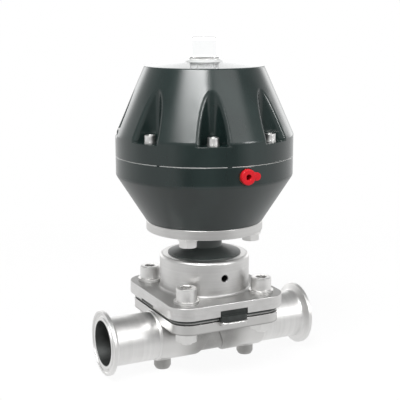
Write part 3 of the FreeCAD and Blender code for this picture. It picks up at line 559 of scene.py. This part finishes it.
def mesh_of(name, form, angle=SMOOTH_ANGLE):
    """Mesh out of a bmesh, smooth except at edges sharper than the angle."""
    bmesh.ops.recalc_face_normals(form, faces=form.faces)
    mesh = bpy.data.meshes.new(name)
    form.to_mesh(mesh)
    form.free()
    mesh.shade_smooth()
    mesh.set_sharp_from_angle(angle=angle)
    return mesh


def wire_section(angle, mean, height, radius, points, low=-math.inf, high=math.inf):
    """Section at one angle of a round wire that runs about the stem, cut flat at low and high."""
    section = []
    for index in range(points):
        roll = FULL_TURN * index / points
        out = mean + radius * math.cos(roll)
        level = min(high, max(low, height + radius * math.sin(roll)))
        section.append((out * math.cos(angle), out * math.sin(angle), level))
    return section


# Socket head screws with knurled heads and cut threads; the shares are of the head's height or radius,
# of its chamfer, of the socket or of the pitch

KNURL_TEETH = 40
RING_POINTS = 2 * KNURL_TEETH
KNURL_DEPTH = 0.10 * MM
KNURL_FOOT_SHARE = 0.14
KNURL_TOP_SHARE = 0.16
KNURL_RUN_IN = 0.5
KNURL_RUN_OUT = 0.4
CHAMFER_SHARE = 0.09
CHAMFER_MIDDLE = 0.35
FOOT_RISE = 0.2
FOOT_EASE = 0.3
SOCKET_MOUTH = 0.25 * MM
SOCKET_FLARE = 0.8
SOCKET_DRILL_DEPTH = 0.6 * MM
SOCKET_DRILL_SHARE = 0.05
THREAD_DEPTH_SHARE = 0.55
THREAD_RUN_OUT = 0.4
THREAD_ROWS = 7
TIP_CHAMFER = 1.4

BONNET_SEAT = top("bonnet_washers")
BONNET_SIZES = {"head_radius": 8 * MM, "head_height": top("bonnet_screws") - BONNET_SEAT, "flats": 8 * MM,
                "socket_depth": 5 * MM, "shank_radius": 5 * MM, "pitch": 1.5 * MM, "threaded": 14 * MM}
BONNET_SCREW_X = reach("bonnet_screws") - BONNET_SIZES["head_radius"]
BONNET_SCREW_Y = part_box("bonnet_screws")[1].y - BONNET_SIZES["head_radius"]

HOUSING_SEAT = top("housing_washers")
HOUSING_SIZES = {"head_radius": 4.25 * MM, "head_height": top("housing_screws") - HOUSING_SEAT,
                 "flats": 4 * MM, "socket_depth": 2.5 * MM, "shank_radius": 2.5 * MM, "pitch": 0.8 * MM,
                 "threaded": 4 * MM}
HOUSING_SCREW_COUNT = 8
HOUSING_SCREW_START = math.radians(24.5)
HOUSING_SCREW_STEP = FULL_TURN / HOUSING_SCREW_COUNT
NEAREST_SCREW_ANGLE = HOUSING_SCREW_STEP - HOUSING_SCREW_START
HOUSING_CIRCLE = (reach("housing_screws") - HOUSING_SIZES["head_radius"]) / math.cos(NEAREST_SCREW_ANGLE)


def circle(centre, height, radius):
    """Ring of points whose radius is a number or a rule of the angle."""
    points = []
    for index in range(RING_POINTS):
        angle = FULL_TURN * index / RING_POINTS
        out = radius(angle) if callable(radius) else radius
        points.append((centre[0] + out * math.cos(angle), centre[1] + out * math.sin(angle), height))
    return points


def knurl(radius):
    """Every second point of the ring lies in a groove."""
    return lambda angle: radius - KNURL_DEPTH * (round(angle / FULL_TURN * RING_POINTS) % 2)


def hexagon(flats):
    """Distance of a hexagon's side at each angle."""
    side = math.pi / 3
    return lambda angle: flats / 2 / math.cos((angle + side / 2) % side - side / 2)


def thread(height, radius, pitch, depth):
    """Radius of a thread's flank at each angle, for one height."""
    def rule(angle):
        phase = (height / pitch - angle / FULL_TURN) % 1
        return radius - depth * abs(2 * phase - 1)
    return rule


def head_rows(seat, head_radius, head_height, flats, socket_depth, shank_radius):
    """Heights and radii from the socket's floor over the head and down to the seat."""
    head_top = seat + head_height
    floor = head_top - socket_depth
    socket = hexagon(flats)
    chamfer = head_radius * CHAMFER_SHARE
    knurl_foot = seat + head_height * KNURL_FOOT_SHARE
    knurl_top = head_top - head_height * KNURL_TOP_SHARE
    return [(floor - SOCKET_DRILL_DEPTH, flats * SOCKET_DRILL_SHARE),
            (floor, socket),
            (head_top - SOCKET_MOUTH, socket),
            (head_top, lambda angle: socket(angle) + SOCKET_MOUTH * SOCKET_FLARE),
            (head_top, head_radius - chamfer),
            (head_top - chamfer * CHAMFER_MIDDLE, head_radius - chamfer * CHAMFER_MIDDLE),
            (knurl_top + chamfer * KNURL_RUN_IN, head_radius),
            (knurl_top, knurl(head_radius)),
            (knurl_foot, knurl(head_radius)),
            (knurl_foot - chamfer * KNURL_RUN_OUT, head_radius),
            (seat + chamfer * FOOT_RISE, head_radius),
            (seat, head_radius - chamfer * FOOT_EASE),
            (seat, shank_radius)]


def thread_rows(tip, shank_radius, pitch, threaded):
    """Heights and radii from the plain shank down the thread to the tip."""
    depth = pitch * THREAD_DEPTH_SHARE
    thread_top = tip + threaded
    rows = [(thread_top + pitch * THREAD_RUN_OUT, shank_radius)]
    count = int(threaded / pitch * THREAD_ROWS)
    for index in range(count + 1):
        height = thread_top - threaded * index / count
        fade = min(1.0, (height - tip) / pitch, (thread_top - height) / pitch)
        end_chamfer = max(0.0, 1 - (height - tip) / pitch) * depth
        rows.append((height, thread(height, shank_radius - end_chamfer, pitch, depth * fade)))
    rows.append((tip, shank_radius - depth * TIP_CHAMFER))
    return rows


def cap_screw(form, centre, seat, tip, head_radius, head_height, flats, socket_depth, shank_radius, pitch,
              threaded):
    """One screw with its head on the seat."""
    rows = head_rows(seat, head_radius, head_height, flats, socket_depth, shank_radius)
    rows += thread_rows(tip, shank_radius, pitch, threaded)
    lofted(form, [circle(centre, height, radius) for height, radius in rows])


def bonnet_cap_screws():
    """The four screws of the bonnet; their ends stand out below the nuts."""
    form = bmesh.new()
    for x in (-BONNET_SCREW_X, BONNET_SCREW_X):
        for y in (-BONNET_SCREW_Y, BONNET_SCREW_Y):
            cap_screw(form, (x, y), BONNET_SEAT, bottom("bonnet_screws"), **BONNET_SIZES)
    new_piece("bonnet_cap_screws", mesh_of("bonnet_cap_screws", form), "fastener_steel", "valve",
              "bonnet_screws")


def housing_cap_screws():
    """The eight screws in the pockets of the housing."""
    form = bmesh.new()
    for index in range(HOUSING_SCREW_COUNT):
        angle = HOUSING_SCREW_START + HOUSING_SCREW_STEP * index
        centre = (HOUSING_CIRCLE * math.cos(angle), HOUSING_CIRCLE * math.sin(angle))
        cap_screw(form, centre, HOUSING_SEAT, bottom("housing_screws"), **HOUSING_SIZES)
    new_piece("housing_cap_screws", mesh_of("housing_cap_screws", form), "fastener_steel", "valve",
              "housing_screws")


# Welds between the ferrules' tubes and the forging

WELD_RADIUS = 19.6 * MM
WELD_SINK = 0.5 * MM
WELD_RISE = 0.75 * MM
WELD_HALF_WIDTH = 1.5 * MM
WELD_ACROSS = 7
WELD_RIPPLES = 96
WELD_RIPPLE_POINTS = 3
WELD_RIPPLE_RISE = 0.06 * MM
WELD_RIPPLE_SHIFT = 0.12 * MM
WELD_ROOT_SINK = 0.9 * MM
WELD_ROOT_SHARE = 0.9


def weld_profile(ripple):
    """Offsets along the pipe and radii of the bead's section; the last two lie under the skin."""
    profile = []
    for index in range(WELD_ACROSS):
        share = index / (WELD_ACROSS - 1) * 2 - 1
        hump = 1 - share * share
        profile.append((share * WELD_HALF_WIDTH + WELD_RIPPLE_SHIFT * ripple * hump,
                        WELD_RADIUS - WELD_SINK + hump * (WELD_RISE + WELD_RIPPLE_RISE * ripple)))
    for side in (1, -1):
        profile.append((side * WELD_HALF_WIDTH * WELD_ROOT_SHARE, WELD_RADIUS - WELD_ROOT_SINK))
    return profile


def weld(name, side):
    """Low rippled bead all round the joint."""
    count = WELD_RIPPLES * WELD_RIPPLE_POINTS
    rings = []
    for index in range(count):
        angle = FULL_TURN * index / count
        profile = weld_profile(math.sin(angle * WELD_RIPPLES))
        rings.append([(side * WELD_PLACE + along, out * math.cos(angle), PIPE_HEIGHT + out * math.sin(angle))
                      for along, out in profile])
    form = bmesh.new()
    lofted(form, rings, endless=True)
    new_piece(name, mesh_of(name, form), "polished_steel", "valve")


# Closing spring with closed and ground ends

SPRING_WIRE = 2.2 * MM
SPRING_WIRE_POINTS = 14
SPRING_TURN_STEPS = 44
SPRING_TURNS = 6.5
SPRING_END_TURNS = 0.9
SPRING_GROUND_SHARE = 0.45
SPRING_CLOSE_SHARE = 2.02
SPRING_SMOOTH_ANGLE = math.radians(50)


def closing_coil():
    """Round wire wound up from the plate; the end turns lie close and are ground flat."""
    low = bottom("closing_spring")
    high = top("closing_spring")
    mean = reach("closing_spring") - SPRING_WIRE
    ground = SPRING_WIRE * SPRING_GROUND_SHARE
    close = SPRING_WIRE * SPRING_CLOSE_SHARE
    free = high - low - 2 * SPRING_WIRE + 2 * ground
    pitch = (free - 2 * SPRING_END_TURNS * close) / (SPRING_TURNS - 2 * SPRING_END_TURNS)
    rings = []
    for index in range(int(SPRING_TURNS * SPRING_TURN_STEPS) + 1):
        turn = index / SPRING_TURN_STEPS
        ends = min(turn, SPRING_END_TURNS) + max(0.0, turn - SPRING_TURNS + SPRING_END_TURNS)
        height = low + SPRING_WIRE - ground + ends * close + (turn - ends) * pitch
        rings.append(wire_section(FULL_TURN * turn, mean, height, SPRING_WIRE, SPRING_WIRE_POINTS, low, high))
    form = bmesh.new()
    lofted(form, rings)
    coil = new_piece("closing_coil", mesh_of("closing_coil", form, SPRING_SMOOTH_ANGLE), "spring_steel",
                     "valve", "closing_spring")
    lift = next(joint for joint in frame["joints"] if joint["name"] == "stem_lift")["range_m"][1]
    1 - lift / (high - low)
    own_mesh(coil)


# Rubber that bends with the stem in the valve, kept here in the form of its nodes

def bending(node, slot):
    """The node's own form as a piece of its own, in place of the node."""
    mesh = frame["nodes"][node].data.copy()
    piece = new_piece(node + "_bending", mesh, slot, None, node)
    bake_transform(piece)


def bending_rubber():
    """Both layers of the diaphragm, and the rolling membrane."""
    bending("diaphragm_face", "face_layer")
    bending("diaphragm_backing", "black_rubber")
    bending("membrane", "cloth_rubber")


# Pale bead in the joint of the housing, a painted highlight for the bright line there, which stops short at
# two places

BEAD_RADIUS = 0.34 * MM
BEAD_INSET = 0.36 * MM
BEAD_SIDES = 8
BEAD_STEP = 1.5
BEAD_RUNS = ((-144.1, -102.5), (-99.5, 213.8))


def parting_bead():
    """Thin pale bead between the two halves, in two lengths: a painted highlight along the joint."""
    form = bmesh.new()
    for start, stop in BEAD_RUNS:
        count = int((stop - start) / BEAD_STEP)
        angles = [math.radians(start + (stop - start) * index / count) for index in range(count + 1)]
        lofted(form, [wire_section(angle, BAND_RADIUS - BEAD_INSET, PARTING, BEAD_RADIUS, BEAD_SIDES)
                      for angle in angles])
    # Painted highlight: a pale bead stands in for the bright line of the joint
    new_piece("parting_bead", mesh_of("parting_bead", form), "face_layer", "valve")


def dress_nodes():
    """Gives every node the finish that its record names."""
    slots = {part["node"]: part["material_slot"] for part in frame["record"]["subparts"]}
    for node, thing in frame["nodes"].items():
        thing.data.materials.clear()
        thing.data.materials.append(FINISHES[slots[node]])


dress_nodes()
bonnet_cap_screws()
housing_cap_screws()
weld("inlet_weld", -1)
weld("outlet_weld", 1)
closing_coil()
bending_rubber()
parting_bead()


# Camera

CAMERA_PLACE = Vector((-0.3215, -0.6490, 0.2795))
CAMERA_TURN = math.radians(-26.085)
CAMERA_TILT = math.radians(-11.415)
CAMERA_ROLL = math.radians(0.076)
CAMERA_LENS = 83.97
SENSOR_WIDTH = 36.0
NEAREST_SEEN = 0.01
FARTHEST_SEEN = 20.0


def camera():
    """The camera that was fitted to the photo."""
    data = bpy.data.cameras.new("camera")
    data.lens = CAMERA_LENS
    data.sensor_width = SENSOR_WIDTH
    data.clip_start = NEAREST_SEEN
    data.clip_end = FARTHEST_SEEN
    thing = placed("camera", data)
    turn = Matrix.Rotation(CAMERA_TURN, 4, "Z") @ Matrix.Rotation(math.pi / 2 + CAMERA_TILT, 4, "X")
    thing.matrix_world = Matrix.Translation(CAMERA_PLACE) @ turn @ Matrix.Rotation(-CAMERA_ROLL, 4, "Z")
    bpy.context.scene.camera = thing


# Lamps; their power is in watts for each square metre at a glow of 1

LAMP_AIM = Vector((0, 0, 0.15))
LAMP_POWER = 4
NO_FADE = (-1.0, 0.0)


def softbox(name, turn, rise, away, width, height, glow, left, right, foot=NO_FADE):
    """Rectangular lamp that faces the valve: turn and rise in degrees, turn to the right of the camera;
    left and right are the shares of its width over which it fades out, foot the fade of its height."""
    data = bpy.data.lights.new(name, "AREA")
    data.shape = "RECTANGLE"
    data.size = width
    data.size_y = height
    data.energy = glow * LAMP_POWER * width * height
    across, up, _ = split(emptied(data).node("ShaderNodeNewGeometry", {}, {}, "Parametric"))
    level = step(across, 0, left) * step(1 - across, 0, right) * past(up, foot)
    glowing = level.node("ShaderNodeEmission", {}, {"Strength": level})
    glowing.node("ShaderNodeOutputLight", {}, {"Surface": glowing})
    angle = CAMERA_TURN + math.radians(turn)
    lift = math.radians(rise)
    way = Vector((math.sin(angle) * math.cos(lift), -math.cos(angle) * math.cos(lift), math.sin(lift)))
    thing = placed(name, data)
    thing.location = LAMP_AIM + way * away
    thing.rotation_mode = "QUATERNION"
    thing.rotation_quaternion = (-way).to_track_quat("-Z", "Y")
    thing.visible_camera = False


def lamps():
    """A large key lamp on the left, a faint and a small one on the right, and three faint ones behind."""
    softbox("key_softbox", turn=-26, rise=43, away=1.3, width=1.06, height=0.7, glow=19,
            left=0.45, right=0.06, foot=(0.22, 0.85))
    softbox("fill_softbox", turn=47.3, rise=43, away=1.3, width=1.04, height=0.7, glow=1.35,
            left=0.1, right=0.25)
    softbox("right_softbox", turn=58, rise=19, away=1.3, width=0.34, height=0.26, glow=14,
            left=0.3, right=0.3)
    softbox("left_rear_softbox", turn=-146, rise=9, away=2.0, width=1.4, height=0.9, glow=1.5,
            left=0.5, right=0.5)
    softbox("right_rear_softbox", turn=146, rise=9, away=2.0, width=1.4, height=0.9, glow=1.5,
            left=0.5, right=0.5)
    softbox("rear_softbox", turn=180, rise=14, away=2.0, width=1.0, height=0.7, glow=0.9,
            left=0.3, right=0.3)


# World: levels, and fades by how far a direction points behind the valve, aside of it or up

BACKDROP_EDGE = (-0.25, 0.35)
BACKDROP_HEAD = (0.25, 0.45)
BACKDROP_HEAD_FALL = 0.9
ROOM_LEVEL = 0.85
ROOM_HORIZON = (-0.12, 0.02)
ROOM_CEILING = (0.3, 0.6)
ROOM_FALL = 0.25
STAND_LEFT = (-0.66, -0.34)
STAND_RIGHT = (0.64, 0.86)
STAND_FOOT = (-0.28, -0.22)
STAND_HEAD = (-0.1, -0.04)
STAND_SHADE = 0.88
EVEN_LIGHT = 0.36


def toward(way, x, y):
    """How far a direction points along a level direction, from -1 to 1."""
    return way.node("ShaderNodeVectorMath", {"operation": "DOT_PRODUCT"}, {0: way, 1: (x, y, 0)}, "Value")


def world():
    """White for the camera and through glass; gloss mirrors a white backdrop behind the valve, and a
    darker room with its stand on the camera's side; anything else gets a plain even light."""
    made = bpy.data.worlds.new("studio")
    bpy.context.scene.world = made
    way = emptied(made).node("ShaderNodeTexCoord", {}, {}, "Generated")
    path = way.node("ShaderNodeLightPath", {}, {})
    seen, gloss, clear = [path.other(key) for key in
                          ("Is Camera Ray", "Is Glossy Ray", "Is Transmission Ray")]
    behind = toward(way, -math.sin(CAMERA_TURN), math.cos(CAMERA_TURN))
    aside = toward(way, math.cos(CAMERA_TURN), math.sin(CAMERA_TURN))
    rise = split(way)[2]
    backdrop = past(behind, BACKDROP_EDGE) * (1 - BACKDROP_HEAD_FALL * past(rise, BACKDROP_HEAD))
    room = ROOM_LEVEL - ROOM_FALL * past(rise, ROOM_HORIZON) - ROOM_FALL * past(rise, ROOM_CEILING)
    stand = past(aside, STAND_LEFT) * before(aside, STAND_RIGHT)
    stand = stand * past(rise, STAND_FOOT) * before(rise, STAND_HEAD)
    mirrored = backdrop + (1 - backdrop) * room * (1 - STAND_SHADE * stand)
    white = seen.math("MAXIMUM", seen, clear)
    level = white + (1 - white) * (gloss * mirrored + (1 - gloss) * EVEN_LIGHT)
    shader = way.node("ShaderNodeBackground", {}, {"Color": (1, 1, 1, 1), "Strength": level})
    shader.node("ShaderNodeOutputWorld", {}, {"Surface": shader})


# Floor

FLOOR_SIZE = 6.0
FLOOR_DROP = 0.05 * MM
FLOOR_FADE = (0.34, 0.62)
FLOOR_CLEARNESS = 0.92
FLOOR_COLOUR = (0.93, 0.93, 0.93, 1)


def floor():
    """Pale floor that fades into the backdrop away from the valve and keeps the shadow."""
    half = FLOOR_SIZE / 2
    form = bmesh.new()
    form.faces.new([form.verts.new((x, y, -FLOOR_DROP)) for x, y in
                    ((-half, -half), (half, -half), (half, half), (-half, half))])
    mesh = bpy.data.meshes.new("floor")
    form.to_mesh(mesh)
    form.free()
    thing = placed("floor", mesh)
    material = bpy.data.materials.new("floor")
    place = emptied(material).node("ShaderNodeTexCoord", {}, {}, "Object")
    x, y, _ = split(place)
    fade = FLOOR_CLEARNESS + (1 - FLOOR_CLEARNESS) * past(distance(x, y), FLOOR_FADE)
    pale = place.node("ShaderNodeBsdfDiffuse", {}, {"Color": FLOOR_COLOUR})
    gone = place.node("ShaderNodeBsdfTransparent", {}, {})
    shader = fade.node("ShaderNodeMixShader", {}, {0: fade, 1: pale, 2: gone})
    shader.node("ShaderNodeOutputMaterial", {}, {"Surface": shader})
    mesh.materials.append(material)


camera()
lamps()
world()
floor()
bpy.context.scene.view_settings.view_transform = "Standard"
